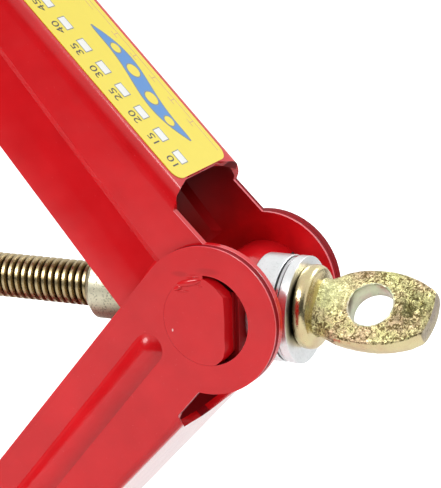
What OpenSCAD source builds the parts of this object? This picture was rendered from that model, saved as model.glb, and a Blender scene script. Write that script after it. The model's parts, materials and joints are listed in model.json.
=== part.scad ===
// Scissor jack: four pressed arms, geared at base and saddle, closed and opened by one screw.
// Origin on the ground under the middle of the base, +X towards the screw's eye, +Z up.

/* [Linkage] */
// Distance between the two pivots of each arm
arm_length = 180; // [160:1:210]
// Angle of the arms above the ground
arm_angle = 48; // [30:1:60]
// Distance of each base and saddle pivot from the middle
pivot_x = 20; // [18:0.5:24]
// Height of the base pivots above the ground
base_pivot_z = 30; // [29:0.5:36]
// Height of the saddle's seat above the saddle pivots
saddle_rise = 30; // [29:0.5:36]
// Angle of the arms when the jack is closed
closed_angle = 10; // [10:1:14]

/* [Arms] */
// Thickness of the arms' sheet
arm_sheet = 2.4; // [2:0.1:2.8]
// Width of the lower arms across their outer faces
lower_arm_w = 49.4; // [48:0.2:56]
// Gap at each side between a lower arm and the upper arm that folds into it
nest_gap = 0.3; // [0.2:0.05:0.6]
// Radius of the round ears at the screw's end of the arms
ear_r = 22.5; // [21.5:0.5:25]
// Outer radius of a lower arm's bends between web and flanges
lower_bend_r = 3; // [2.8:0.1:4]
// Outer radius of an upper arm's bends between web and flanges
upper_bend_r = 4; // [3:0.25:6]
// From a lower arm's pivot line to its web's outer face, at the ear end
lower_web_ear = 16.6; // [16:0.2:18]
// From a lower arm's pivot line to its web's outer face, at the geared end
lower_web_gear = 12.3; // [12:0.2:15]
// From an upper arm's pivot line to its web's outer face, at the ear end
upper_web_ear = 19.2; // [18:0.2:21]
// From an upper arm's pivot line to its web's outer face, at the geared end
upper_web_gear = 13.6; // [13:0.2:16]
// From the pivot line to the free edge of the flanges, at the geared end
free_edge_gear = 15.3; // [14:0.3:16]
// From the ear's pivot to the start of a lower arm's bends
lower_notch_bend = 29; // [28.5:0.5:32]
// From the ear's pivot to the start of a lower arm's web
lower_notch_web = 32.5; // [31.5:0.5:36]
// From the ear's pivot to the start of an upper arm's bends
upper_notch_bend = 31.5; // [30:0.5:34]
// From the ear's pivot to the start of an upper arm's web
upper_notch_web = 36.5; // [35:0.5:40]
// From the geared end's pivot to the end of the web, along the flange
web_end_flange = 27; // [26:0.5:30]
// From the geared end's pivot to the end of the web, along the web
web_end_web = 31; // [30:0.5:36]

/* [Gear teeth] */
// Teeth that a full wheel would have
gear_teeth = 16; // [14:1:20]
// Play between meshing teeth
gear_play = 0.3; // [0.2:0.05:0.5]

/* [Pressed ribs] */
// Distance of a lower arm's ribs from the flange's free edge
rib_from_edge = 14.5; // [13.5:0.5:15.5]
// Width of a lower arm's ribs
rib_w = 9.6; // [8:0.2:12]
// Height of a lower arm's ribs, which stand out
rib_h = 2.2; // [1.4:0.1:2.4]
// Distance of an upper arm's grooves from the flange's free edge
groove_from_edge = 15.5; // [14:0.5:16.5]
// Width of an upper arm's grooves
groove_w = 10.6; // [8:0.2:12]
// Depth of an upper arm's grooves, which are pressed in
groove_depth = 1.6; // [1:0.1:1.8]
// Width of the grooves' steep side, next to the web
groove_slope = 2.4; // [1.5:0.1:3]
// From the ear's pivot to the start of a lower arm's ribs
rib_start = 16.2; // [16:0.2:24]
// From the ear's pivot to the start of an upper arm's grooves
groove_start = 21.5; // [19:0.5:26]
// From the geared end's pivot to the end of ribs and grooves
rib_end = 32; // [31:0.5:44]

/* [Trunnions and screw] */
// Radius of the round cross bars at the arms' ends
trunnion_r = 13.7; // [12.5:0.1:14.5]
// From the right cross bar's middle to the flat that takes the bearing
thrust_flat_x = 8.7; // [7.5:0.1:9.5]
// Radius of the screw over its thread
screw_r = 7; // [6:0.25:8]
// From the right cross bar's middle to the spot face behind it for the stop sleeve
spot_face_x = 11.5; // [10.5:0.1:12.5]
// Chamfer where the flat meets the cross bar's ends
bar_chamfer = 2.6; // [1.5:0.1:3.5]
// Radius of the stop sleeve behind the right cross bar
sleeve_r = 10.25; // [9.5:0.25:12]
// From the right cross bar's middle to the far end of the stop sleeve
sleeve_reach = 49; // [40:1:60]
// Chamfer at the far end of the stop sleeve
sleeve_chamfer = 2; // [1:0.25:3]
// Radius of the pin through the stop sleeve
sleeve_pin_r = 2; // [1.5:0.25:2.5]
// Radius of the end stop washer
end_stop_r = 12; // [10.5:0.5:13]
// Thickness of the end stop washer
end_stop_t = 3; // [2:0.5:5]
// Radius of the end stop pin
end_pin_r = 2; // [1.5:0.25:2.5]
// Length of screw that stands out behind the end stop
end_reach = 9; // [8:0.5:12]

/* [Bearing] */
// From the bearing's seat to the plane of the balls' middles
ball_from_seat = 6.2; // [6.1:0.05:6.5]
// Gap at each side between the bearing and the flanges of the upper arm
bearing_side_gap = 3.4; // [2.4:0.1:4.2]
// How far the bearing hangs below the screw's line, on the screw
bearing_sag = 1.2; // [0:0.1:1.4]
// Gap over the screw where the bearing hangs on it
bearing_top_gap = 0.1; // [0.05:0.05:0.3]
// Length of the bearing cup
cup_len = 8.3; // [7.5:0.1:9]
// Thickness of the cup's wall and bottom
cup_wall = 1.5; // [1.2:0.1:1.8]
// Number of balls
ball_count = 12; // [10:1:12]
// Gap between the cage and the cup's wall, and between the cage and the bearing's hole
cage_gap = 0.55; // [0.3:0.05:0.8]
// Rim of a race outside the balls' track
track_rim = 0.3; // [0.2:0.05:0.5]
// From the bearing's seat to the outer face of the thrust washer
bearing_len = 13; // [12.5:0.1:14]
// Thickness of the thrust washer's rim
thrust_rim_t = 2.9; // [2.4:0.1:3]
// Thickness of the front race's shield
shield_t = 1; // [0.8:0.05:1.1]
// Groove between the shield and the thrust washer's rim
shield_gap = 0.3; // [0.2:0.05:0.4]

/* [Screw head] */
// Radius of the screw's collar
collar_r = 12.75; // [11.5:0.25:13.5]
// Thickness of the screw's collar
collar_t = 4.6; // [3.8:0.1:6]
// Rounding of the collar's rim
collar_round = 1.8; // [1:0.1:1.9]
// Radius of the neck where it leaves the collar
neck_r = 9.4; // [8.5:0.1:10]
// Length of the neck, over which it flattens into the eye
neck_len = 9.5; // [8:0.25:12]
// From the collar's seat to the middle of the eye's hole
eye_hole_from_collar = 21.2; // [20:0.1:25]
// Radius of the eye's hole
eye_hole_r = 6.85; // [5.5:0.05:7.5]
// Width of the flattened eye
eye_w = 23.8; // [22:0.2:26]
// Width of the eye's end
eye_end_w = 16; // [14:0.2:20]
// From the middle of the eye's hole to its widest place
eye_wide_from_hole = 1.8; // [1:0.1:3]
// Depth of the eye end's blunt point
eye_point = 2.5; // [1:0.1:4]
// Thickness of the flattened eye
eye_t = 7; // [5:0.25:8]
// From the middle of the eye's hole to the end of the eye
eye_end_reach = 19.3; // [16:0.1:22]
// Turn of the eye about the screw's axis
eye_turn = 44.5; // [0:0.5:90]

/* [Base] */
// Length of the base plate
base_l = 150; // [130:1:180]
// Width of the base plate
base_w = 86; // [78:1:100]
// Thickness of the base plate
base_t = 3; // [2.5:0.1:3.2]
// Height of the base plate's turned-up rim
base_rim_h = 8; // [6:0.5:9]
// Corner radius of the base plate
base_corner_r = 16; // [12:0.5:20]
// Thickness of the brackets' sheet
bracket_t = 3; // [2.5:0.1:3.2]
// Outer radius of a bracket's bends
bracket_bend_r = 5; // [4:0.25:5.5]
// Gap at each side between a bracket and the arms inside it
bracket_gap = 0.3; // [0.2:0.05:0.6]
// Radius of a bracket's round ears
bracket_ear_r = 14; // [12:0.5:15]
// Length of a bracket along its floor
bracket_l = 88; // [84:1:96]

/* [Saddle] */
// Length of the saddle plate
saddle_l = 92; // [84:1:110]
// Width of the saddle plate
saddle_w = 60; // [56:1:72]
// Thickness of the saddle plate
saddle_t = 3; // [2.5:0.1:3.2]
// Corner radius of the saddle plate
saddle_corner_r = 6; // [4:0.5:8]
// Height of the saddle plate's lips above its seat
lip_h = 10; // [7:0.5:14]
// Slope length at the outer ends of the lips
lip_slope = 8; // [4:0.5:12]
// Width of the slot in the lips for a sill seam
sill_slot_w = 16; // [12:0.5:22]

/* [Pins and rivets] */
// Radius of the pivot pins
pin_r = 6; // [5:0.25:7]
// Radius of the pivot pins' heads
pin_head_r = 9; // [8:0.25:10]
// Thickness of the pivot pins' heads
pin_head_t = 3; // [2:0.25:4]
// Distance of the rivets from a bracket's ends
rivet_from_end = 10; // [8:0.5:12]
// Distance of the rivets from the middle line
rivet_y = 12; // [10:0.5:13]
// Radius of the rivets
rivet_r = 3; // [2.5:0.25:3.5]
// Radius of the rivets' heads
rivet_head_r = 5.4; // [4.6:0.1:6]
// Thickness of the rivets' heads
rivet_head_t = 2; // [1.2:0.1:2.4]

/* [Fits] */
// Running clearance on radius of pins and cross bars in the arms
run_clear = 0.05; // [0.02:0.01:0.1]
// Clearance on radius of the screw in the cross bars
screw_clear = 0.4; // [0.3:0.05:0.6]
// Clearance on radius where the arms' loop is left open, at the left saddle pin
open_pivot_clear = 0.3; // [0.1:0.05:0.5]
// Clearance on radius of a pressed or riveted joint
seat_clear = 0.02; // [0.01:0.01:0.04]
// End play of the screw in its bearing and stop sleeve
end_play = 0.2; // [0.1:0.05:0.4]
// Gap between the balls and their tracks
ball_gap = 0.1; // [0.05:0.01:0.2]

/* [Label] */
// Length of the label on the upper arm
label_l = 104; // [60:1:106]
// Width of the label
label_w = 34; // [28:0.5:34]
// Thickness of the label
label_t = 0.2; // [0.1:0.05:0.4]
// Corner radius of the label
label_corner_r = 4; // [2:0.5:6]

/* [Hidden] */
$fn = 48;
// Overrun of cuts past the faces that they open
over = 1;
// Overlap of two shapes that form one piece
lap = 0.5;
// Strip of flat flange that is left between a notch's edge and the bend
flat_strip = 0.2;

// Linkage: places that follow from the lengths above
reach_x = arm_length * cos(arm_angle);
reach_z = arm_length * sin(arm_angle);
screw_x = pivot_x + reach_x;
screw_z = base_pivot_z + reach_z;
saddle_pivot_z = screw_z + reach_z;
upper_arm_w = lower_arm_w - 2 * (arm_sheet + nest_gap);

// Screw: long enough to keep its end stop behind the nut when the jack is closed
closed_span = 2 * (pivot_x + arm_length * cos(closed_angle));
screw_tail = closed_span + trunnion_r + over + end_stop_t + end_pin_r + end_reach;

// Gear teeth: the pitch circles touch on the middle plane
pitch_r = pivot_x;
tooth_module = 2 * pitch_r / gear_teeth;
tip_r = pitch_r + tooth_module;
root_depth_share = 1.25;
root_r = pitch_r - root_depth_share * tooth_module;
pressure_angle = 20;
gear_base_r = pitch_r * cos(pressure_angle);
tooth_pitch = 360 / gear_teeth;
teeth_from = 92;
teeth_to = 196;
flank_steps = 6;
degree = 180 / PI;

// Degrees by which an involute from the base circle has turned at radius r
function involute(r) = let (a = acos(gear_base_r / r)) tan(a) * degree - a;
// Half the angle that a tooth fills at radius r
function half_tooth(r) = tooth_pitch / 4 - gear_play / 4 / pitch_r * degree
    + involute(pitch_r) - involute(max(r, gear_base_r));
function polar(r, a) = [r * cos(a), r * sin(a)];

// One tooth about the direction a, with involute flanks from root to tip
module tooth(a) {
    radii = concat([root_r - lap],
        [for (i = [0:flank_steps]) let (low = max(root_r, gear_base_r)) low + (tip_r - low) * i / flank_steps]);
    polygon(concat([for (r = radii) polar(r, a - half_tooth(r))],
        [for (i = [len(radii) - 1:-1:0]) polar(radii[i], a + half_tooth(radii[i]))]));
}

// Toothed end of a flange, with the teeth only where they can meet
module geared_end(first_tooth) {
    circle(root_r);
    for (k = [0:gear_teeth - 1]) {
        a = first_tooth + k * tooth_pitch;
        if (a > teeth_from && a < teeth_to) tooth(a);
    }
}

// Sheet bent up at both sides, drawn across the piece from its outer face upwards
module bent_floor(w, r, h) {
    for (side = [-1, 1]) translate([side * (w / 2 - r), r]) circle(r);
    translate([-w / 2 + r, 0]) square([w - 2 * r, h]);
    translate([-w / 2, r]) square([w, h - r]);
}
module channel_section(w, sheet, r, h) {
    difference() {
        bent_floor(w, r, h);
        translate([0, sheet]) bent_floor(w - 2 * sheet, r - sheet, h);
    }
}

// Arms, drawn with the geared end's pivot at the origin, the ear along +X and the free edge up.
// A point of the pivot line at x has its web at web_at(x) below and its free edge above.
function web_at(x, web_ear, web_gear) = web_gear + (web_ear - web_gear) * x / arm_length;
// Depth at x that is still on the flat of a flange, just short of its bend
function flat_to(x, web_ear, web_gear, bend_r) = web_at(x, web_ear, web_gear) - bend_r - flat_strip;
function edge_at(x) = free_edge_gear + (ear_r - free_edge_gear) * x / arm_length;
edge_tilt = atan((ear_r - free_edge_gear) / arm_length);

// Flat part of a flange: ear, toothed end and the strip between them up to the bend
module flange_outline(web_ear, web_gear, bend_r, notch_bend, first_tooth, gear_hole_r) {
    x_notch = arm_length - notch_bend;
    x_end = web_end_flange;
    flat_notch = flat_to(x_notch, web_ear, web_gear, bend_r);
    flat_end = flat_to(x_end, web_ear, web_gear, bend_r);
    difference() {
        union() {
            polygon([[0, edge_at(0)], [arm_length, ear_r], [arm_length, -flat_notch],
                     [x_notch, -flat_notch], [x_end, -flat_end], [0, -flat_end]]);
            translate([arm_length, 0]) circle(ear_r);
            geared_end(first_tooth);
        }
        circle(gear_hole_r);
        translate([arm_length, 0]) circle(trunnion_r + run_clear);
    }
}

// Side view of the web and its bends: the bends are cut at a slant, the web square through its sheet.
// It meets the flanges below their ribs and grooves.
module web_outline(web_ear, web_gear, bend_r, notch_bend, notch_web) {
    x_notch = arm_length - notch_bend;
    x_tip = arm_length - notch_web;
    flat_notch = flat_to(x_notch, web_ear, web_gear, bend_r);
    web_tip = web_at(x_tip, web_ear, web_gear);
    flat_end = flat_to(web_end_flange, web_ear, web_gear, bend_r);
    web_end = web_at(web_end_web, web_ear, web_gear);
    polygon([[web_end_flange, -flat_end / 2], [x_notch, -flat_end / 2], [x_notch, -flat_notch],
             [x_tip, arm_sheet - web_tip], [x_tip, -web_tip - over],
             [web_end_web, -web_end - over], [web_end_web, arm_sheet - web_end],
             [web_end_flange, -flat_end]]);
}

// Lays a side view on the XZ plane as a slab of thickness w
module side_slab(w) {
    rotate([90, 0, 0]) linear_extrude(w, center = true) children();
}

module arm_body(w, web_ear, web_gear, bend_r, notch_bend, notch_web, first_tooth, gear_hole_r) {
    for (side = [-1, 1]) translate([0, side * (w - arm_sheet) / 2, 0]) side_slab(arm_sheet)
        flange_outline(web_ear, web_gear, bend_r, notch_bend, first_tooth, gear_hole_r);
    intersection() {
        translate([0, 0, -web_gear]) rotate([0, atan((web_ear - web_gear) / arm_length), 0])
            rotate([90, 0, 90]) linear_extrude(arm_length)
                channel_section(w, arm_sheet, bend_r, web_gear + free_edge_gear / 2);
        side_slab(w + 2 * over) web_outline(web_ear, web_gear, bend_r, notch_bend, notch_web);
    }
}

// Round-ended rib of radius r about a line that runs beside the free edge, at depth y
module rib_rod(r, y) {
    x0 = rib_end + rib_w / 2;
    x1 = arm_length - rib_start - rib_w / 2;
    z0 = edge_at(x0) - rib_from_edge;
    run = (x1 - x0) / cos(edge_tilt);
    translate([x0, y, z0]) rotate([0, -edge_tilt, 0]) {
        sphere(r);
        rotate([0, 90, 0]) cylinder(h = run, r = r);
        translate([run, 0, 0]) sphere(r);
    }
}

// Radius of the rib's round back, from its width and height
rib_r = (rib_w * rib_w / 4 + rib_h * rib_h) / (2 * rib_h);

module lower_arm(first_tooth) {
    color("firebrick") difference() {
        union() {
            arm_body(lower_arm_w, lower_web_ear, lower_web_gear, lower_bend_r, lower_notch_bend,
                     lower_notch_web, first_tooth, pin_r + run_clear);
            for (side = [-1, 1]) intersection() {
                rib_rod(rib_r, side * (lower_arm_w / 2 + rib_h - rib_r));
                translate([0, side * (lower_arm_w / 2 - arm_sheet / 2 + rib_h), 0])
                    cube([2 * arm_length, arm_sheet + 2 * rib_h, 2 * arm_length], center = true);
            }
        }
        for (side = [-1, 1]) intersection() {
            rib_rod(rib_r - arm_sheet, side * (lower_arm_w / 2 + rib_h - rib_r));
            translate([0, side * (lower_arm_w / 2 - arm_sheet), 0])
                cube([2 * arm_length, 2 * arm_sheet, 2 * arm_length], center = true);
        }
    }
}

// V-shaped groove, steep next to the web, its mouth on the plane y = 0 and its depth along -Y
module groove() {
    run = (arm_length - groove_start - rib_end) / cos(edge_tilt);
    half_mouth = groove_w / 2;
    translate([rib_end, 0, edge_at(rib_end) - groove_from_edge]) rotate([0, -edge_tilt, 0]) intersection() {
        rotate([90, 0, 90]) linear_extrude(run)
            polygon([[lap, -half_mouth], [0, -half_mouth], [-groove_depth, groove_slope - half_mouth],
                     [0, half_mouth], [lap, half_mouth]]);
        linear_extrude(2 * groove_w, center = true)
            polygon([[0, lap], [0, 0], [groove_slope, -groove_depth],
                     [run - groove_slope, -groove_depth], [run, 0], [run, lap]]);
    }
}

module groove_pair(inset) {
    translate([0, upper_arm_w / 2 - inset, 0]) groove();
    mirror([0, 1, 0]) translate([0, upper_arm_w / 2 - inset, 0]) groove();
}

module upper_arm(first_tooth, gear_hole_r) {
    color("firebrick") difference() {
        union() {
            arm_body(upper_arm_w, upper_web_ear, upper_web_gear, upper_bend_r, upper_notch_bend,
                     upper_notch_web, first_tooth, gear_hole_r);
            groove_pair(arm_sheet);
        }
        groove_pair(0);
    }
}

// Places of the arms: the left pair is the right pair's mirror image, half a tooth on
module at_base_pivot() { translate([pivot_x, 0, base_pivot_z]) rotate([0, -arm_angle, 0]) children(); }
module flip_up() { translate([0, 0, 2 * screw_z]) mirror([0, 0, 1]) children(); }
module flip_left() { mirror([1, 0, 0]) children(); }
right_tooth = 0;
left_tooth = tooth_pitch / 2;

module lower_arm_right() { at_base_pivot() lower_arm(right_tooth); }
module lower_arm_left() { flip_left() at_base_pivot() lower_arm(left_tooth); }
module upper_arm_right() { flip_up() at_base_pivot() upper_arm(right_tooth, pin_r + run_clear); }
module upper_arm_left() {
    flip_left() flip_up() at_base_pivot() upper_arm(left_tooth, pin_r + open_pivot_clear);
}

// Plate with round corners, centred on the origin
module rounded_plate(l, w, r) {
    square([l - 2 * r, w], center = true);
    square([l, w - 2 * r], center = true);
    for (x = [-1, 1], y = [-1, 1]) translate([x * (l / 2 - r), y * (w / 2 - r)]) circle(r);
}

// Label on the web of the right upper arm, from the notch towards the saddle
module arm_label() {
    tilt = atan((upper_web_ear - upper_web_gear) / arm_length);
    label_x = arm_length - upper_notch_web - lap - label_l / 2;
    color("gold") flip_up() at_base_pivot()
        translate([0, 0, -upper_web_gear]) rotate([0, tilt, 0])
            translate([label_x, 0, -label_t]) linear_extrude(label_t)
                rounded_plate(label_l, label_w, label_corner_r);
}

// Screw line: pieces drawn along X with the right cross bar's middle as origin
screw_hole_r = screw_r + screw_clear;
module on_screw_line() { translate([screw_x, 0, screw_z]) children(); }
module rod(from, len, r) { translate([from, 0, 0]) rotate([0, 90, 0]) cylinder(h = len, r = r); }
module cone(from, len, r_from, r_to) {
    translate([from, 0, 0]) rotate([0, 90, 0]) cylinder(h = len, r1 = r_from, r2 = r_to);
}
module ring_track(x, circle_r, r) {
    translate([x, 0, 0]) rotate([0, 90, 0]) rotate_extrude() translate([circle_r, 0]) circle(r);
}
module cross_bar() {
    difference() {
        rotate([90, 0, 0]) cylinder(h = lower_arm_w, r = trunnion_r, center = true);
        rod(-trunnion_r - over, 2 * (trunnion_r + over), screw_hole_r);
    }
}

// Right cross bar: flat in front for the bearing, spot face behind for the stop sleeve
module trunnion_right() {
    chamfer_side = bar_chamfer * sqrt(2);
    color("firebrick") on_screw_line() difference() {
        cross_bar();
        translate([thrust_flat_x, -lower_arm_w, -trunnion_r])
            cube([trunnion_r, 2 * lower_arm_w, 2 * trunnion_r]);
        rod(-trunnion_r - over, trunnion_r + over - spot_face_x, sleeve_r + lap);
        for (side = [-1, 1]) translate([thrust_flat_x, side * lower_arm_w / 2, 0]) rotate([0, 0, 45])
            cube([chamfer_side, chamfer_side, 2 * (trunnion_r + over)], center = true);
    }
}

// Left cross bar: the screw's nut
module trunnion_left() { color("firebrick") flip_left() on_screw_line() cross_bar(); }

// Bearing: stations along the screw line, from the cross bar's flat outwards
seat_x = thrust_flat_x;
face_x = seat_x + bearing_len;
rim_x = face_x - thrust_rim_t;
shield_x = rim_x - shield_gap - shield_t;
ball_x = seat_x + ball_from_seat;
cup_r = upper_arm_w / 2 - arm_sheet - bearing_side_gap;
cup_bore_r = cup_r - cup_wall;
bearing_hole_r = screw_r + bearing_sag + bearing_top_gap;
module on_bearing_line() { translate([0, 0, -bearing_sag]) on_screw_line() children(); }
// The balls run midway between the bearing's hole and the cup's wall, and fill this share of that room
ball_room_share = 0.6;
ball_circle_r = (cup_bore_r + bearing_hole_r) / 2;
ball_r = ball_room_share * (cup_bore_r - bearing_hole_r) / 2;
track_gap = ball_r / 2;
boss_r = ball_circle_r + ball_r + track_rim;

module bearing_cup() {
    color("gainsboro") on_bearing_line() difference() {
        rod(seat_x, cup_len, cup_r);
        rod(seat_x + cup_wall, cup_len, cup_bore_r);
        rod(seat_x - over, cup_len, bearing_hole_r);
    }
}

module bearing_rear_race() {
    color("silver") on_bearing_line() difference() {
        rod(seat_x + cup_wall, ball_x - track_gap - seat_x - cup_wall, cup_bore_r - seat_clear);
        rod(seat_x, cup_len, bearing_hole_r);
        ring_track(ball_x, ball_circle_r, ball_r + ball_gap);
    }
}

module at_balls() {
    for (i = [0:ball_count - 1]) rotate([i * 360 / ball_count, 0, 0])
        translate([ball_x, 0, ball_circle_r]) children();
}

module bearing_balls() { color("silver") on_bearing_line() at_balls() sphere(ball_r); }

module bearing_cage() {
    color("goldenrod") on_bearing_line() difference() {
        rod(ball_x - track_gap / 2, track_gap, cup_bore_r - cage_gap);
        rod(ball_x - track_gap, 2 * track_gap, bearing_hole_r + cage_gap);
        at_balls() rod(-track_gap - over, 2 * (track_gap + over), ball_r + seat_clear);
    }
}

module bearing_front_race() {
    color("silver") on_bearing_line() difference() {
        union() {
            rod(ball_x + track_gap, shield_x + shield_t - ball_x - track_gap, boss_r);
            rod(shield_x, shield_t, cup_r - shield_gap);
        }
        rod(seat_x, bearing_len, bearing_hole_r);
        ring_track(ball_x, ball_circle_r, ball_r + ball_gap);
    }
}

module thrust_washer() {
    color("gainsboro") on_bearing_line() difference() {
        union() {
            rod(rim_x - shield_gap, shield_gap + lap, boss_r);
            rod(rim_x, thrust_rim_t, cup_r);
        }
        rod(seat_x, 2 * bearing_len, bearing_hole_r);
    }
}

// Screw with its forged head: collar, neck and flattened eye
collar_end = face_x + collar_t;
eye_hole_x = face_x + eye_hole_from_collar;
eye_end_x = eye_hole_x + eye_end_reach;
sleeve_mid_x = -(sleeve_reach + spot_face_x) / 2;
end_pin_x = -screw_tail + end_reach;

module eye_outline() {
    wide_x = eye_hole_x + eye_wide_from_hole;
    run = eye_end_x - wide_x;
    drop = (eye_w - eye_end_w) / 2;
    side_r = (run * run + drop * drop) / (2 * drop);
    start_x = collar_end - lap;
    corner_x = eye_end_x - eye_point;
    intersection() {
        translate([wide_x, eye_w / 2 - side_r]) circle(side_r, $fn = 4 * $fn);
        translate([wide_x, side_r - eye_w / 2]) circle(side_r, $fn = 4 * $fn);
        polygon([[start_x, -eye_w / 2], [corner_x, -eye_w / 2], [eye_end_x, 0],
                 [corner_x, eye_w / 2], [start_x, eye_w / 2]]);
    }
}

module collar() {
    rod(face_x, collar_t, collar_r - collar_round);
    rod(face_x + collar_round, collar_t - 2 * collar_round, collar_r);
    for (x = [face_x + collar_round, collar_end - collar_round])
        ring_track(x, collar_r - collar_round, collar_round);
}

module lead_screw() {
    color("darkkhaki") on_screw_line() difference() {
        union() {
            rod(-screw_tail, screw_tail + face_x + lap, screw_r);
            collar();
            cone(collar_end - lap, neck_len, neck_r, eye_t / 2);
            rotate([90 - eye_turn, 0, 0]) linear_extrude(eye_t, center = true) eye_outline();
        }
        rotate([90 - eye_turn, 0, 0]) translate([eye_hole_x, 0, 0])
            cylinder(h = 2 * neck_r, r = eye_hole_r, center = true);
        for (x = [sleeve_mid_x, end_pin_x]) translate([x, 0, 0])
            cylinder(h = 2 * screw_r + 2 * over, r = sleeve_pin_r + seat_clear, center = true);
    }
}

module stop_sleeve() {
    sleeve_end = -spot_face_x - end_play;
    color("darkkhaki") on_screw_line() difference() {
        union() {
            rod(-sleeve_reach + sleeve_chamfer, sleeve_end + sleeve_reach - sleeve_chamfer, sleeve_r);
            cone(-sleeve_reach, sleeve_chamfer, sleeve_r - sleeve_chamfer, sleeve_r);
        }
        rod(-sleeve_reach - over, sleeve_reach, screw_r + seat_clear);
        translate([sleeve_mid_x, 0, 0])
            cylinder(h = 2 * sleeve_r + over, r = sleeve_pin_r + seat_clear, center = true);
    }
}

module sleeve_pin() {
    color("dimgray") on_screw_line() translate([sleeve_mid_x, 0, 0])
        cylinder(h = 2 * sleeve_r, r = sleeve_pin_r, center = true);
}

module end_stop_washer() {
    color("darkkhaki") on_screw_line() difference() {
        rod(end_pin_x + end_pin_r, end_stop_t, end_stop_r);
        rod(-screw_tail, screw_tail, screw_r + seat_clear);
    }
}

module end_stop_pin() {
    color("dimgray") on_screw_line() translate([end_pin_x, 0, 0])
        cylinder(h = 2 * end_stop_r, r = end_pin_r, center = true);
}

// Brackets: drawn with the floor's outer face at z = 0 and the pivots above it
function bracket_w(arm_w) = arm_w + 2 * (bracket_gap + bracket_t);

module bracket_outline(pivot_h) {
    polygon([[-bracket_l / 2, 0], [bracket_l / 2, 0], [pivot_x + bracket_ear_r, pivot_h],
             [pivot_x, pivot_h + bracket_ear_r], [-pivot_x, pivot_h + bracket_ear_r],
             [-pivot_x - bracket_ear_r, pivot_h]]);
    for (side = [-1, 1]) translate([side * pivot_x, pivot_h]) circle(bracket_ear_r);
}

module at_rivets() {
    for (x = [-1, 1], y = [-1, 1])
        translate([x * (bracket_l / 2 - rivet_from_end), y * rivet_y, 0]) children();
}

module bracket(w, pivot_h) {
    difference() {
        intersection() {
            translate([-bracket_l / 2, 0, 0]) rotate([90, 0, 90]) linear_extrude(bracket_l)
                channel_section(w, bracket_t, bracket_bend_r, pivot_h + bracket_ear_r);
            side_slab(w + 2 * over) bracket_outline(pivot_h);
        }
        for (side = [-1, 1]) translate([side * pivot_x, 0, pivot_h]) rotate([90, 0, 0])
            cylinder(h = w + 2 * over, r = pin_r + seat_clear, center = true);
        at_rivets() cylinder(h = 2 * bracket_t, r = rivet_r + seat_clear);
    }
}

// Rivets: countersunk in the plate, whose outer face is z = 0, with heads on the bracket's floor
module rivet_hole(plate_t, extra) {
    sink = plate_t / 2;
    translate([0, 0, -extra]) cylinder(h = plate_t + bracket_t + extra, r = rivet_r + seat_clear);
    cylinder(h = sink, r1 = rivet_r + sink, r2 = rivet_r);
}
module rivets(plate_t) {
    sink = plate_t / 2;
    head_top_share = 0.7;
    at_rivets() {
        cylinder(h = plate_t + bracket_t + lap, r = rivet_r);
        cylinder(h = sink, r1 = rivet_r + sink - seat_clear, r2 = rivet_r - seat_clear);
        translate([0, 0, plate_t + bracket_t])
            cylinder(h = rivet_head_t, r1 = rivet_head_r, r2 = head_top_share * rivet_head_r);
    }
}

module pivot_pin(w) {
    head_top_share = 0.8;
    rotate([90, 0, 0]) cylinder(h = w + lap, r = pin_r, center = true);
    for (turn = [-90, 90]) rotate([turn, 0, 0]) translate([0, 0, w / 2])
        cylinder(h = pin_head_t, r1 = pin_head_r, r2 = head_top_share * pin_head_r);
}

module base_plate() {
    color("firebrick") difference() {
        linear_extrude(base_rim_h) rounded_plate(base_l, base_w, base_corner_r);
        translate([0, 0, base_t]) linear_extrude(base_rim_h)
            rounded_plate(base_l - 2 * base_t, base_w - 2 * base_t, base_corner_r - base_t);
        at_rivets() rivet_hole(base_t, over);
    }
}

module base_bracket() {
    color("firebrick") translate([0, 0, base_t]) bracket(bracket_w(lower_arm_w), base_pivot_z - base_t);
}
module base_rivets() { color("firebrick") rivets(base_t); }
module base_pin_right() {
    color("firebrick") translate([pivot_x, 0, base_pivot_z]) pivot_pin(bracket_w(lower_arm_w));
}
module base_pin_left() {
    color("firebrick") translate([-pivot_x, 0, base_pivot_z]) pivot_pin(bracket_w(lower_arm_w));
}

// Saddle: built like the base, upside down under its seat
seat_z = saddle_pivot_z + saddle_rise;
module under_seat() { translate([0, 0, seat_z]) mirror([0, 0, 1]) children(); }

module lip_outline() {
    foot_x = saddle_l / 2 - saddle_corner_r;
    for (side = [0, 1]) mirror([side, 0])
        polygon([[sill_slot_w / 2, -lap], [foot_x, -lap], [foot_x - lip_slope, lip_h], [sill_slot_w / 2, lip_h]]);
}

module saddle_plate() {
    color("firebrick") difference() {
        union() {
            under_seat() linear_extrude(saddle_t) rounded_plate(saddle_l, saddle_w, saddle_corner_r);
            for (side = [-1, 1]) translate([0, side * (saddle_w - saddle_t) / 2, seat_z])
                side_slab(saddle_t) lip_outline();
        }
        under_seat() at_rivets() rivet_hole(saddle_t, over);
    }
}

module saddle_bracket() {
    color("firebrick") under_seat() translate([0, 0, saddle_t])
        bracket(bracket_w(upper_arm_w), saddle_rise - saddle_t);
}
module saddle_rivets() { color("firebrick") under_seat() rivets(saddle_t); }
module saddle_pin_right() {
    color("firebrick") translate([pivot_x, 0, saddle_pivot_z]) pivot_pin(bracket_w(upper_arm_w));
}
module saddle_pin_left() {
    color("firebrick") translate([-pivot_x, 0, saddle_pivot_z]) pivot_pin(bracket_w(upper_arm_w));
}

base_plate();
base_bracket();
base_rivets();
base_pin_right();
base_pin_left();
lower_arm_right();
lower_arm_left();
upper_arm_right();
upper_arm_left();
trunnion_right();
trunnion_left();
bearing_cup();
bearing_rear_race();
bearing_cage();
bearing_balls();
bearing_front_race();
thrust_washer();
lead_screw();
stop_sleeve();
sleeve_pin();
end_stop_washer();
end_stop_pin();
saddle_bracket();
saddle_plate();
saddle_rivets();
saddle_pin_right();
saddle_pin_left();
arm_label();
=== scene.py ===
# Scissor jack with its screw's eye towards the camera: enamelled arms, zinc-plated screw and bearing.
import json
import math

import bmesh
import bpy
import numpy as np
from mathutils import Matrix, Vector, noise

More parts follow.
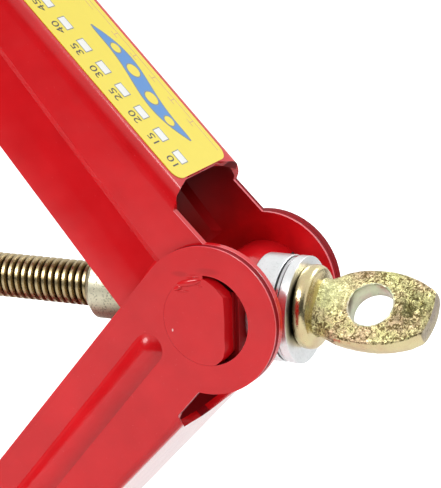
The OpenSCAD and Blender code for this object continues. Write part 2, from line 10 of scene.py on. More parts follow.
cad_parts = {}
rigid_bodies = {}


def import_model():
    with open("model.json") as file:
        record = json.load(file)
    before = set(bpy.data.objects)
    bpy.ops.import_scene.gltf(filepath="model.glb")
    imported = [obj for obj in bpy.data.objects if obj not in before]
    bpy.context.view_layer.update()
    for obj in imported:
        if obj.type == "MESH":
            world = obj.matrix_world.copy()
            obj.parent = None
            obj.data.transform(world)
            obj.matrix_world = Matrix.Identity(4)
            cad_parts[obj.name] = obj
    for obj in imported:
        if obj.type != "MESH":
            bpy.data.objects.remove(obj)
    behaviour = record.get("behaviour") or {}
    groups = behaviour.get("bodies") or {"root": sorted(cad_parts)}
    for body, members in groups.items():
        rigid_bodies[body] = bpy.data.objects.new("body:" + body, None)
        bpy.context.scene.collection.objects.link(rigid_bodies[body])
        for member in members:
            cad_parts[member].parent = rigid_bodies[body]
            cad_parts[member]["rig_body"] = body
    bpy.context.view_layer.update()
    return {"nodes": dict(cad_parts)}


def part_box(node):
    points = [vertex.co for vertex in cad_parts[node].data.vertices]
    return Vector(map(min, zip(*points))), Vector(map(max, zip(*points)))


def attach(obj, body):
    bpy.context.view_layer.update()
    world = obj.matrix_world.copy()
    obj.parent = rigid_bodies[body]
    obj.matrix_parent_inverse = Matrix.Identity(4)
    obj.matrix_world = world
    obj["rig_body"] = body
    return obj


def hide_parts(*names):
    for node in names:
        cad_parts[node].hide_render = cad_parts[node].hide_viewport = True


# The scene is in metres. Sizes on the jack are written in millimetres and taken times MM, and only the
# floor, the lamps and the ends of the paper are placed in metres.
MM = 0.001
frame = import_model()
scene = bpy.context.scene
scene.view_settings.view_transform = "Standard"

# Camera: a long lens to the right of the jack's side and slightly above, tilted by under two degrees.
# It looks past the middle of the right cross bar, where the screw leaves the arms.
AZIMUTH, ELEVATION, ROLL = (math.radians(angle) for angle in (25.8146, 14.769, -1.6604))
FOCAL_LENGTH, NEAREST, FARTHEST = 179.09, 0.05, 50
CAMERA_RIGHT, CAMERA_UP, CAMERA_BACK = -5.686, 16.788, 733.27
BAR_RADIUS = 13.7 * MM
bar_low, bar_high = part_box("trunnion_right")
bar = Vector((bar_low.x + BAR_RADIUS, 0, (bar_low.z + bar_high.z) / 2))
level_right = Vector((math.cos(AZIMUTH), math.sin(AZIMUTH), 0))
back = Vector((math.sin(AZIMUTH) * math.cos(ELEVATION), -math.cos(AZIMUTH) * math.cos(ELEVATION),
               math.sin(ELEVATION)))
level_up = back.cross(level_right)
turned_right = level_right * math.cos(ROLL) + level_up * math.sin(ROLL)
turned_up = level_up * math.cos(ROLL) - level_right * math.sin(ROLL)
place = bar + (level_right * CAMERA_RIGHT + level_up * CAMERA_UP + back * CAMERA_BACK) * MM
camera = bpy.data.objects.new("camera", bpy.data.cameras.new("camera"))
scene.collection.objects.link(camera)
camera.data.lens = FOCAL_LENGTH
camera.data.clip_start, camera.data.clip_end = NEAREST, FARTHEST
camera.matrix_world = Matrix(
    [[turned_right[i], turned_up[i], back[i], place[i]] for i in range(3)] + [[0, 0, 0, 1]])
scene.camera = camera


# Backdrop: white paper that keeps soft shadows and ends in front of the jack, under a white sky.
# The sky is dark low down in front, as a room is, and the glossy paint and metal show that as deep bands.
# Its shaders are put together by short functions, which take a node's inputs by name or by number.
def feed(tree, made, inputs):
    for name, value in inputs.items():
        if isinstance(value, bpy.types.NodeSocket):
            tree.links.new(value, made.inputs[name])
        else:
            made.inputs[name].default_value = value
    return made


def node(tree, kind, inputs=None, **settings):
    made = tree.nodes.new(kind)
    for name, value in settings.items():
        setattr(made, name, value)
    return feed(tree, made, inputs or {})


def math_node(tree, operation, *values):
    return node(tree, "ShaderNodeMath", dict(enumerate(values)), operation=operation).outputs[0]


def vector_node(tree, operation, *values):
    made = node(tree, "ShaderNodeVectorMath", dict(enumerate(values)), operation=operation)
    return made.outputs["Value" if operation in ("DISTANCE", "DOT_PRODUCT") else "Vector"]


def ramp(tree, value, *stops):
    made = node(tree, "ShaderNodeValToRGB", {"Fac": value})
    band = made.color_ramp.elements
    while len(band) < len(stops):
        band.new(0.5)
    for element, (position, colour) in zip(band, stops):
        element.position = position
        element.color = (*colour, 1) if isinstance(colour, tuple) else (colour, colour, colour, 1)
    return made.outputs["Color"]


def mixed(tree, share, first, second):
    first, second = ((*colour, 1) if isinstance(colour, tuple) else colour for colour in (first, second))
    return node(tree, "ShaderNodeMix", {"Factor": share, 6: first, 7: second}, data_type="RGBA").outputs[2]


WHITE, TO_THE_FRONT = (1.0, 1.0, 1.0), (-0.20, -0.98, 0.0)
LOW_FRONT_GREY, PAPER_GREY, PAST_PAPER_GREY = 0.08, 0.86, 0.10
world = bpy.data.worlds.new("studio")
scene.world = world
world.use_nodes = True
tree = world.node_tree
tree.nodes.clear()
direction = node(tree, "ShaderNodeTexCoord").outputs["Generated"]
frontness = vector_node(tree, "DOT_PRODUCT", direction, TO_THE_FRONT)
height = node(tree, "ShaderNodeSeparateXYZ", {0: direction}).outputs["Z"]
low_sky = ramp(tree, frontness, (0.0, 1.0), (0.35, LOW_FRONT_GREY))
light = mixed(tree, ramp(tree, height, (0.50, 0.0), (0.78, 1.0)), low_sky, WHITE)
seen = node(tree, "ShaderNodeLightPath").outputs["Is Camera Ray"]
sky = node(tree, "ShaderNodeBackground", {"Color": mixed(tree, seen, light, WHITE), "Strength": 1.0})
node(tree, "ShaderNodeOutputWorld", {"Surface": sky.outputs[0]})

FLOOR_REACH, FLOOR_DROP = 12.0, 0.1 * MM
floor_corners = [(x * FLOOR_REACH, y * FLOOR_REACH, -FLOOR_DROP)
                 for x, y in ((-1, -1), (1, -1), (1, 1), (-1, 1))]
floor_mesh = bpy.data.meshes.new("floor")
floor_mesh.from_pydata(floor_corners, [], [(0, 1, 2, 3)])
floor = bpy.data.objects.new("floor", floor_mesh)
scene.collection.objects.link(floor)
paper = bpy.data.materials.new("paper")
paper.use_nodes = True
tree = paper.node_tree
tree.nodes.clear()
seen = node(tree, "ShaderNodeLightPath").outputs["Is Camera Ray"]
coords = node(tree, "ShaderNodeTexCoord").outputs["Object"]
to_the_right, backwards = node(tree, "ShaderNodeSeparateXYZ", {0: coords}).outputs[0:2]
forwards = math_node(tree, "MULTIPLY", backwards, -1.0)
front_end = ramp(tree, forwards, (0.60, PAPER_GREY), (0.88, PAST_PAPER_GREY))
right_end = ramp(tree, to_the_right, (0.42, PAPER_GREY), (0.60, PAST_PAPER_GREY))
greys = math_node(tree, "MINIMUM", front_end, right_end)
matt = node(tree, "ShaderNodeBsdfDiffuse", {"Color": mixed(tree, seen, greys, (0.86, 0.86, 0.87))})
glow = node(tree, "ShaderNodeEmission", {"Strength": math_node(tree, "MULTIPLY", seen, 0.5)})
both = node(tree, "ShaderNodeAddShader", {0: matt.outputs[0], 1: glow.outputs[0]})
node(tree, "ShaderNodeOutputMaterial", {"Surface": both.outputs[0]})
floor_mesh.materials.append(paper)


# Lamps: two round soft boxes aimed at the right cross bar, the larger one high in front on the left.
# The smaller one stands behind on the right and edges the ears and the eye.
def softbox(name, offset, size, power):
    lamp = bpy.data.lights.new(name, "AREA")
    lamp.shape = "DISK"
    lamp.size, lamp.energy = size, power
    holder = bpy.data.objects.new(name, lamp)
    holder.location = bar + Vector(offset)
    holder.rotation_euler = (-Vector(offset)).to_track_quat("-Z", "Y").to_euler()
    scene.collection.objects.link(holder)


softbox("key", offset=(-0.9, -1.3, 1.1), size=0.9, power=22)
softbox("rim", offset=(0.9, 1.1, 0.9), size=0.7, power=9)


# Base and saddle: plates and U brackets pressed from sheet steel and riveted, with pivot pins for the arms.
# All of it is stoved in glossy red enamel, which has a slight orange peel and fine dust in it.
# Each piece is a copy of its CAD solid with its edges slightly rounded, and rides on that node's body.
def start_material(name):
    made = bpy.data.materials.new(name)
    made.use_nodes = True
    tree = made.node_tree
    coords = node(tree, "ShaderNodeTexCoord").outputs["Object"]
    return made, tree, tree.nodes["Principled BSDF"], coords


def clouds(tree, coords, scale, detail=3.0, roughness=0.55, distortion=0.0):
    return node(tree, "ShaderNodeTexNoise", {
        "Vector": coords, "Scale": scale, "Detail": detail, "Roughness": roughness,
        "Distortion": distortion}).outputs["Fac"]


def patches(tree, coords, scale, low, high, most=1.0, **more):
    return ramp(tree, clouds(tree, coords, scale, **more), (low, 0.0), (high, most))


def bumps(tree, *layers):
    normal = None
    for height, distance in layers:
        inputs = {"Height": height, "Distance": distance * MM, "Strength": 1.0}
        if normal:
            inputs["Normal"] = normal
        normal = node(tree, "ShaderNodeBump", inputs).outputs["Normal"]
    return normal


def enamel(name, specular=0.4, coat=0.12, coat_ior=1.5, marks=None):
    made, tree, shader, coords = start_material(name)
    colour = mixed(tree, patches(tree, coords, 55.0, 0.3, 0.7), (0.60, 0.005, 0.009), (0.71, 0.008, 0.013))
    dust = patches(tree, coords, 1400.0, 0.70, 0.76, 0.5, detail=2.0)
    colour = mixed(tree, dust, colour, (0.72, 0.05, 0.06))
    if marks:
        colour = marks(tree, coords, colour)
    orange_peel = bumps(
        tree, (clouds(tree, coords, 90.0, 2.0), 0.10), (clouds(tree, coords, 520.0, 2.0), 0.012))
    feed(tree, shader, {
        "Base Color": colour, "Normal": orange_peel,
        "Roughness": ramp(tree, clouds(tree, coords, 140.0), (0.3, 0.14), (0.75, 0.26)),
        "Specular IOR Level": specular, "Coat Weight": coat, "Coat Roughness": 0.05, "Coat IOR": coat_ior})
    return made


def show(name, mesh, body, slot_name, *replaced):
    made = bpy.data.objects.new(name, mesh)
    scene.collection.objects.link(made)
    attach(made, body)
    if replaced:
        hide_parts(*replaced)
    return made


def soften(form, angle):
    for edge in form.edges:
        edge.smooth = edge.calc_face_angle(math.pi) < math.radians(angle) and not edge.seam
    for face in form.faces:
        face.smooth = True


def dressed(name, slot_name, materials, round_mm, reshape=None):
    cad = frame["nodes"][name]
    mesh = cad.data.copy()
    form = bmesh.new()
    form.from_mesh(mesh)
    bmesh.ops.remove_doubles(form, verts=form.verts, dist=0.002 * MM)
    bmesh.ops.dissolve_limit(form, angle_limit=math.radians(1), verts=form.verts, edges=form.edges)
    if reshape:
        reshape(form)
    soften(form, 30)
    mesh.materials.clear()
    for material in materials:
        mesh.materials.append(material)
    form.to_mesh(mesh)
    form.free()
    made = show(name + "_finished", mesh, cad["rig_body"], slot_name, name)
    if round_mm:
        rounding = made.modifiers.new("rounding", "BEVEL")
        rounding.width, rounding.segments = round_mm * MM, 2
        rounding.limit_method, rounding.angle_limit = "ANGLE", math.radians(32)
        rounding.harden_normals = True
        # With a reshape, the rounding takes the last material; on the arms that is the pale pink painted
        # highlight.
        if reshape:
            rounding.material = len(mesh.materials) - 1


red_enamel = enamel("red_enamel")
for name in ("base_plate", "base_bracket", "base_rivets", "base_pin_right", "base_pin_left",
             "saddle_bracket", "saddle_plate", "saddle_rivets", "saddle_pin_right", "saddle_pin_left"):
    dressed(name, "red_enamel", [red_enamel], 0.5)


# Arms: channels bent up from 2.4 mm sheet, with ribs or grooves pressed into their flanges and round ears.
# The notch between an ear and the web was punched before bending, so its corners curve round the bends.
# Enamel is thickest on the lower webs and thin and dull on the cut edges and inside the channels, where it is
# painted darker as shade.
# For each arm, web_end is the notch's edge across the web and bend_end its edge round the bend, by degrees:
# both give how far from the ear's pivot it lies along the arm. The corner is where the two meet the flange.
ARM_ANGLE, ARM_LENGTH, SHEET = math.radians(48), 180.0, 2.4
LOWER_ARM = {
    "half_width": 24.7, "bend": 3.0, "web_ear": 16.6, "web_gear": 12.3, "notch": (28.9, 32.6),
    "web_end": [(0, 37.2), (3, 36.9), (10.4, 35.6), (18.2, 34.6), (21.7, 32.2)],
    "bend_end": [(0, 32.2), (45, 30.6), (70, 30.0), (90, 29.5)], "corner": (29.2, 12.9)}
UPPER_ARM = {
    "half_width": 22.3, "bend": 4.0, "web_ear": 19.2, "web_gear": 13.6, "notch": (31.4, 36.6),
    "web_end": [(0, 36.95), (10.5, 36.95), (18.3, 34.8)],
    "bend_end": [(0, 34.8), (45, 33.5), (70, 32.0), (90, 31.2)], "corner": (30.8, 13.2)}
HIGHLIGHT_STRIP, EAR_REACH, WEB_REACH, BELOW_BEND, PAST_BEND, HAIR = 0.7, 25, 5, 0.5, 0.8, 0.01
WEB_CUTS, LAST_CUT_SHARE = (3, 10.5), 0.85
DENT_SHADES = [(1.2, 15.1, 4.4, 1.3), (-8.0, 13.6, 3.2, 1.1)]  # east and north of the bar, half length, half width
RUBBED = [((13.8, -24.7, 17.3), 5.5, 8.0), ((14.0, 21.5, 17.6), 4.5, 9.5)]  # place, inner and outer reach
INSIDE, RIM, WEB, FAR_RIM, PAINTED_HIGHLIGHT = range(1, 6)


def from_point(tree, coords, point):
    return vector_node(tree, "DISTANCE", coords, tuple(point))


# Full within the inner distance of a point and nothing past the outer one. Both lie within the span.
def near(tree, coords, point, inner, outer, most=1.0, span=10):
    reach = math_node(tree, "MULTIPLY", from_point(tree, coords, point), 1 / (span * MM))
    return ramp(tree, reach, (inner / span, most), (outer / span, 0.0))


# Two dark patches above the cross bar on the right lower arm's flanges are painted shade of dents, with no
# dent in the shape.
def painted_dent_shade_over_hole(tree, coords, colour):
    offset = vector_node(tree, "SUBTRACT", coords, tuple(bar))
    share = 0.0
    for east, north, half_length, half_width in DENT_SHADES:
        stretch = (1 / (half_length * MM), 0.0, 1 / (half_width * MM))
        stretched = vector_node(tree, "MULTIPLY", offset, stretch)
        away = from_point(tree, stretched, (east / half_length, 0, north / half_width))
        share = math_node(tree, "MAXIMUM", share, ramp(tree, away, (0.45, 0.35), (1.0, 0.0)))
    return mixed(tree, share, colour, (0.34, 0.001, 0.003))


def edge_enamel(name, dark, pale, rough, specular, streak_share):
    made, tree, shader, coords = start_material(name)
    offset = vector_node(tree, "SUBTRACT", coords, tuple(bar))
    east, across, north = node(tree, "ShaderNodeSeparateXYZ", {0: offset}).outputs
    turn = math_node(tree, "MULTIPLY", math_node(tree, "ARCTAN2", north, east), 5.0 * MM)
    streaks = node(tree, "ShaderNodeCombineXYZ", {
        "X": turn, "Y": math_node(tree, "MULTIPLY", across, 6.0)}).outputs[0]
    rubbed_part = 0.0
    for spot, inner, outer in RUBBED:
        rubbed_part = math_node(tree, "MAXIMUM", rubbed_part,
                                near(tree, coords, bar + Vector(spot) * MM, inner, outer))
    rubbed = math_node(tree, "MULTIPLY", rubbed_part, patches(
        tree, streaks, 700.0, 1 - streak_share, 1.03 - streak_share, detail=2.0))
    primer_or_steel = mixed(tree, patches(tree, streaks, 1100.0, 0.47, 0.53, detail=2.0),
                            (0.80, 0.66, 0.62), (0.05, 0.02, 0.02))
    colour = mixed(tree, clouds(tree, coords, 700.0), dark, pale)
    feed(tree, shader, {
        "Base Color": mixed(tree, rubbed, colour, primer_or_steel), "Roughness": rough,
        "Specular IOR Level": specular})
    return made


# Painted shade inside the channels: full red within 20 mm of the right cross bar's line, darkening out to 40
# mm, with darker patches.
def enamel_with_painted_channel_shade(name):
    made, tree, shader, coords = start_material(name)
    flattened = vector_node(tree, "MULTIPLY", coords, (1.0, 0.0, 1.0))
    less_shade_near_bar = near(tree, flattened, (bar.x, 0, bar.z), 20, 40, span=100)
    colour = mixed(tree, less_shade_near_bar, (0.17, 0.002, 0.004), (0.76, 0.005, 0.009))
    feed(tree, shader, {
        "Base Color": mixed(tree, patches(tree, coords, 90.0, 0.4, 0.7, 0.3), colour, (0.10, 0.001, 0.002)),
        "Normal": bumps(tree, (clouds(tree, coords, 240.0), 0.05)),
        "Roughness": 0.38, "Specular IOR Level": 0.14})
    return made


web_enamel = enamel("red_enamel_on_webs", coat=1.0, coat_ior=1.9)
enamel_with_painted_dent_shade = enamel("red_enamel_dented", marks=painted_dent_shade_over_hole)
inside_painted_shade = enamel_with_painted_channel_shade("red_enamel_inside")
# The rims are dull enamel, and their dark red is partly painted shade.
rim_enamel_with_painted_shade = edge_enamel("red_enamel_on_rims", (0.18, 0.002, 0.006), (0.32, 0.004, 0.010),
                         rough=0.5, specular=0.05, streak_share=0.30)
# Painted highlight: thin strips along the rims' edges and the arms' rounded edges are painted pale pink.
corner_painted_highlight = edge_enamel("red_enamel_on_corners", (0.70, 0.06, 0.08), (0.90, 0.14, 0.17),
                            rough=0.25, specular=0.5, streak_share=0.44)


def slice_form(form, point, normal):
    bmesh.ops.bisect_plane(form, geom=form.verts[:] + form.edges[:] + form.faces[:], dist=0.001 * MM,
                           plane_co=point, plane_no=normal)


def between(points, at):
    return float(np.interp(at, [p[0] for p in points], [p[1] for p in points]))


def arm_finish(arm, side, up):
    ear = Vector((side * bar.x, 0, bar.z))
    inwards = Vector((-side * math.cos(ARM_ANGLE), 0, up * math.sin(ARM_ANGLE)))
    outward = Vector((side * math.sin(ARM_ANGLE), 0, up * math.cos(ARM_ANGLE)))
    taper = (arm["web_ear"] - arm["web_gear"]) / ARM_LENGTH
    bend_y = arm["half_width"] - arm["bend"]
    inner_y = arm["half_width"] - SHEET
    near_highlight_edge, far_highlight_edge = HIGHLIGHT_STRIP - arm["half_width"], inner_y + HIGHLIGHT_STRIP

    def curve_notch(form):
        for vertex in form.verts:
            offset = (vertex.co - ear) / MM
            x, y, depth = offset.dot(inwards), abs(offset.y), offset.dot(outward)
            bend_depth = arm["web_ear"] - taper * x - arm["bend"]
            if not arm["notch"][0] < x < arm["notch"][1] or depth <= bend_depth - BELOW_BEND:
                continue
            drop = 0
            if y <= bend_y + HAIR:
                goal = between(arm["web_end"], y)
            elif depth > bend_depth + HAIR:
                goal = between(arm["bend_end"], math.degrees(math.atan2(y - bend_y, depth - bend_depth)))
            else:
                goal, drop = arm["corner"][0], depth - arm["corner"][1]
            vertex.co += (inwards * (goal - x) - outward * (taper * (goal - x) + drop)) * MM

    def reshape(form):
        web_cuts = (*WEB_CUTS, bend_y * LAST_CUT_SHARE)
        for y in sorted((near_highlight_edge, far_highlight_edge, *web_cuts, *(-cut for cut in web_cuts))):
            slice_form(form, (0, y * MM, 0), (0, 1, 0))
        curve_notch(form)
        form.normal_update()
        for face in form.faces:
            middle = (face.calc_center_median() - ear) / MM
            y, out = abs(middle.y), face.normal.dot(outward)
            turned_in = face.normal.y * middle.y < -0.3 * y
            under_web = out < -0.5 and middle.dot(outward) > WEB_REACH
            end_on = abs(face.normal.dot(inwards)) > 0.6
            if y < inner_y + 0.1 and (turned_in or under_web):
                face.material_index = INSIDE
            elif abs(face.normal.y) < 0.1 and (y > bend_y + PAST_BEND or end_on):
                face.material_index = FAR_RIM if middle.y > 0 and middle.dot(inwards) < EAR_REACH else RIM
                # Strips along the rims' edges get the pale painted highlight.
                if middle.y < near_highlight_edge or (up > 0 and 0 < middle.y < far_highlight_edge):
                    face.material_index = PAINTED_HIGHLIGHT
            elif out > 0.9:
                face.material_index = WEB
    return reshape


for name, arm, side, up in (("lower_arm_right", LOWER_ARM, 1, -1), ("lower_arm_left", LOWER_ARM, -1, -1),
                            ("upper_arm_right", UPPER_ARM, 1, 1), ("upper_arm_left", UPPER_ARM, -1, 1)):
    flanges = enamel_with_painted_dent_shade if name == "lower_arm_right" else red_enamel
    rims, web = (rim_enamel_with_painted_shade, web_enamel) if up < 0 else (red_enamel, red_enamel)
    dressed(name, "red_enamel", [flanges, inside_painted_shade, rims, web, rim_enamel_with_painted_shade, corner_painted_highlight], 0.4,
            arm_finish(arm, side, up))


# Cross bars: turned steel, enamelled after they were staked into the ears. The left one is the screw's nut.
# The right one has a flat for the bearing. Its near end is chamfered where it shows free of the staking,
# above and beside the flat, with a gap around it, and the enamel on its face has one small chip.
# The cylinder in the gap round the free part of the bar's end is painted near black as shade.
BAR_END, FLAT_X = LOWER_ARM["half_width"], 8.7
CHAMFER_DEPTH, CHAMFER, GAP, FLAT_GAP, GAP_DEPTH = 2.3, 1.8, 2.3, 1.0, 4.4
FREE_START, FREE_FULL, STAKED_START, STAKED_FULL = -78, -42, 59, 104
SLIVER, CORE_RADIUS, GAP_WEST, GAP_SOUTH = 0.1, 7, -3, -13
DEPTH_SLICES = (SLIVER, 0.6, 1.2, 1.8, CHAMFER_DEPTH, GAP_DEPTH, GAP_DEPTH + SLIVER)
HEIGHT_SLICES = (-8, -5, 0, 5, 8)
CHIP_EAST, CHIP_NORTH, CHIP_FLATNESS = -10.9, -3.9, 0.55
CHAMFERED, IN_GAP, ON_FLAT = range(1, 4)


def share_of(value, start, end):
    return max(0.0, min(1.0, (value - start) / (end - start)))


def chip(tree, coords, colour):
    flattened = vector_node(tree, "MULTIPLY", coords, (1.0, 0.0, CHIP_FLATNESS))
    middle = (bar.x + CHIP_EAST * MM, 0, (bar.z + CHIP_NORTH * MM) * CHIP_FLATNESS)
    return mixed(tree, near(tree, flattened, middle, 0.16, 0.28), colour, (0.85, 0.60, 0.60))


# Painted shade: a colour that deepens further in from the bar's near end.
def enamel_with_painted_shade(name, shallow, deep):
    made, tree, shader, coords = start_material(name)
    across = node(tree, "ShaderNodeSeparateXYZ", {0: coords}).outputs["Y"]
    to_the_end = math_node(tree, "MULTIPLY", across, -40.0)
    feed(tree, shader, {
        "Base Color": ramp(tree, to_the_end, (0.45, deep), (0.90, shallow)), "Specular IOR Level": 0.1})
    return made


def free_end(form):
    for depth in DEPTH_SLICES:
        slice_form(form, (0, (depth - BAR_END) * MM, 0), (0, 1, 0))
    for height in HEIGHT_SLICES:
        slice_form(form, (0, 0, bar.z + height * MM), (0, 0, 1))
    for vertex in form.verts:
        offset = (vertex.co - bar) / MM
        reach, turn = math.hypot(offset.x, offset.z), math.degrees(math.atan2(offset.z, offset.x))
        free = share_of(turn, FREE_START, FREE_FULL) * share_of(turn, STAKED_FULL, STAKED_START)
        depth = BAR_END + offset.y
        if depth < GAP_DEPTH + SLIVER / 2 and reach > CORE_RADIUS and free > 0:
            inset = CHAMFER * share_of(depth, CHAMFER_DEPTH, 0) ** 1.25
            goal = BAR_RADIUS / MM - free * (GAP + inset)
            if offset.x > 0:
                goal = min(goal, (FLAT_X - free * (FLAT_GAP + inset * 0.95)) / (offset.x / reach))
            if goal < reach:
                vertex.co += Vector((offset.x, 0, offset.z)) * (goal / reach - 1) * MM
    form.normal_update()
    for face in form.faces:
        middle = (face.calc_center_median() - bar) / MM
        depth = BAR_END + middle.y
        in_gap = CHAMFER_DEPTH + SLIVER < depth < GAP_DEPTH + SLIVER
        if face.normal.x > 0.95 or (face.normal.y < -0.98 and depth > SLIVER):
            face.material_index = ON_FLAT
        elif in_gap and middle.x > GAP_WEST and middle.z > GAP_SOUTH:
            face.material_index = IN_GAP
        elif -0.98 < face.normal.y < -0.2:
            face.material_index = CHAMFERED
    for edge in form.edges:
        flat = [abs(face.normal.y) > 0.99 for face in edge.link_faces]
        edge.seam = any(flat) and not all(flat)


chipped_enamel = enamel("red_enamel_flecked", marks=chip)
fresh_enamel = enamel("red_enamel_fresh", specular=0.2)
gap_painted_shade = enamel_with_painted_shade("red_enamel_in_gap", (0.03, 0.001, 0.002), (0.015, 0.001, 0.001))
# The flat and the steps facing the end are painted as shade, dark red near the end and near black further in.
flat_painted_shade = enamel_with_painted_shade("red_enamel_on_flat", (0.42, 0.004, 0.008), (0.02, 0.001, 0.002))
dressed("trunnion_left", "red_enamel", [red_enamel], 0.5)
dressed("trunnion_right", "red_enamel",
        [chipped_enamel, fresh_enamel, gap_painted_shade, flat_painted_shade, chipped_enamel], 0.2, free_end)


# Staking burr: the ear's metal is hammered over the cross bar's end, which leaves a few crumpled folds.
# It is a thin patch across the hole's edge, with its border sunk into the flange.
FOLDS = [  # middle east and north of the bar, half length, half width, turn in degrees, height
    (-5.1, 11.2, 4.2, 1.05, 15, 0.80), (-3.9, 13.0, 2.3, 0.24, 14, 0.30), (-3.4, 13.8, 2.0, 0.20, 12, 0.22),
    (-8.6, 9.3, 1.7, 0.60, 30, 0.70), (-7.2, 8.5, 2.2, 0.32, 4, 0.45), (-2.2, 10.5, 1.9, 0.26, -8, 0.35)]
BURR_EAST, BURR_NORTH, BURR_STEP, BURR_SUNK = -10.8, 7.0, 0.085, 0.06
BURR_COLUMNS, BURR_ROWS = 121, 81


def fold_height(east, north):
    height = 0.0
    for fold_east, fold_north, half_length, half_width, degrees, rise in FOLDS:
        turn = math.radians(degrees)
        along_fold = (east - fold_east) * math.cos(turn) + (north - fold_north) * math.sin(turn)
        across_fold = (north - fold_north) * math.cos(turn) - (east - fold_east) * math.sin(turn)
        swell = max(0.0, 1 - (along_fold / half_length) ** 2 - (across_fold / half_width) ** 2)
        height = max(height, rise * swell ** 0.6)
    return height


def mesh_of(form, name):
    mesh = bpy.data.meshes.new(name)
    form.to_mesh(mesh)
    form.free()
    return mesh


form = bmesh.new()
grid = []
for column in range(BURR_COLUMNS):
    east = BURR_EAST + column * BURR_STEP
    norths = [BURR_NORTH + row * BURR_STEP for row in range(BURR_ROWS)]
    grid.append([form.verts.new(bar + Vector((
        east, BURR_SUNK - BAR_END - fold_height(east, north), north)) * MM) for north in norths])
for first, second in zip(grid, grid[1:]):
    for row in range(BURR_ROWS - 1):
        form.faces.new([first[row], second[row], second[row + 1], first[row + 1]]).smooth = True
burr_mesh = mesh_of(form, "staking_burr")
burr_mesh.materials.append(red_enamel)
show("staking_burr", burr_mesh, frame["nodes"]["lower_arm_right"]["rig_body"], "red_enamel")


# Thrust bearing: a turned cup on the right cross bar's flat and a washer against the screw's collar, both in
# pale zinc. Between them two ground steel races hold twelve balls in a brass cage.
# The washer's face is painted dark on its near side at the collar, as the collar's shade and dark reflection,
# and all of it hangs a little low on the screw.
PALE_ZINC = ((0.90, 0.91, 0.92), (0.80, 0.83, 0.83), 0.36, 0.012, 0.12)
BEARING_SAG, BALL_COUNT = 1.2, 12
KEEP_Y_AND_Z = (0.0, 1.0, 1.0)


def metal(name, tint, second, rough, grain, speckle=0.0, marks=None):
    made, tree, shader, coords = start_material(name)
    colour = mixed(tree, patches(tree, coords, 130.0, 0.38, 0.62, detail=4.0), tint, second)
    fine = clouds(tree, coords, 1500.0, 2.0)
    if speckle:
        colour = mixed(tree, ramp(tree, fine, (0.56, 0.0), (0.70, speckle)), colour, (0.16, 0.15, 0.10))
    if marks:
        colour = marks(tree, coords, colour)
    feed(tree, shader, {
        "Base Color": colour, "Metallic": 1.0,
        "Roughness": ramp(tree, fine, (0.3, rough * 0.8), (0.7, rough * 1.25)),
        "Normal": bumps(tree, (fine, grain), (clouds(tree, coords, 260.0), grain * 1.5))})
    return made


# Painted shade: the washer's face goes near black in a ring by the collar on its near side.
def painted_shade_at_collar(tree, coords, colour):
    from_axis = vector_node(tree, "MULTIPLY", coords, KEEP_Y_AND_Z)
    inner_ring = near(tree, from_axis, (0, 0, bar.z - BEARING_SAG * MM), 13.2, 16.0, span=20)
    near_side = near(tree, from_axis, (0, -12.5 * MM, bar.z + 1.5 * MM), 7.0, 12.4, span=20)
    return mixed(tree, math_node(tree, "MULTIPLY", inner_ring, near_side), colour, (0.045, 0.04, 0.03))


def new_rule(name, *sockets):
    tree = bpy.data.node_groups.new(name, "GeometryNodeTree")
    for label, kind in sockets:
        tree.interface.new_socket(label, in_out="INPUT", socket_type="NodeSocket" + kind)
    tree.interface.new_socket("Geometry", in_out="OUTPUT", socket_type="NodeSocketGeometry")
    return tree, node(tree, "NodeGroupInput").outputs


def run_rule(tree, name, **values):
    seed = bpy.data.objects.new(name + "_seed", bpy.data.meshes.new(name + "_seed"))
    scene.collection.objects.link(seed)
    rule = seed.modifiers.new("rule", "NODES")
    rule.node_group = tree
    for socket in tree.interface.items_tree:
        if socket.in_out == "INPUT":
            rule[socket.identifier] = values[socket.name.replace(" ", "_").lower()]
    mesh = bpy.data.meshes.new_from_object(seed.evaluated_get(bpy.context.evaluated_depsgraph_get()))
    bpy.data.objects.remove(seed)
    mesh.name = name
    return mesh


def end_rule(tree, geometry, given):
    about_x = node(tree, "GeometryNodeTransform", {
        "Geometry": geometry, "Rotation": (0, math.radians(90), 0)})
    painted = node(tree, "GeometryNodeSetMaterial", {
        "Geometry": about_x.outputs[0], "Material": given["Material"]})
    node(tree, "NodeGroupOutput", {0: painted.outputs[0]})


pale_zinc = metal("pale_zinc", *PALE_ZINC)
pale_zinc_with_painted_shade = metal("pale_zinc_smeared", *PALE_ZINC, marks=painted_shade_at_collar)
bearing_steel = metal("bearing_steel", (0.62, 0.62, 0.63), (0.55, 0.55, 0.56), 0.22, 0.004)
cage_brass = metal("cage_brass", (0.66, 0.48, 0.20), (0.58, 0.40, 0.16), 0.35, 0.01)
dressed("bearing_cup", "pale_zinc", [pale_zinc], 0.3)
dressed("thrust_washer", "pale_zinc", [pale_zinc_with_painted_shade], 0.35)
dressed("bearing_front_race", "bearing_steel", [bearing_steel], 0.15)
dressed("bearing_rear_race", "bearing_steel", [bearing_steel], 0)
dressed("bearing_cage", "cage_brass", [cage_brass], 0)

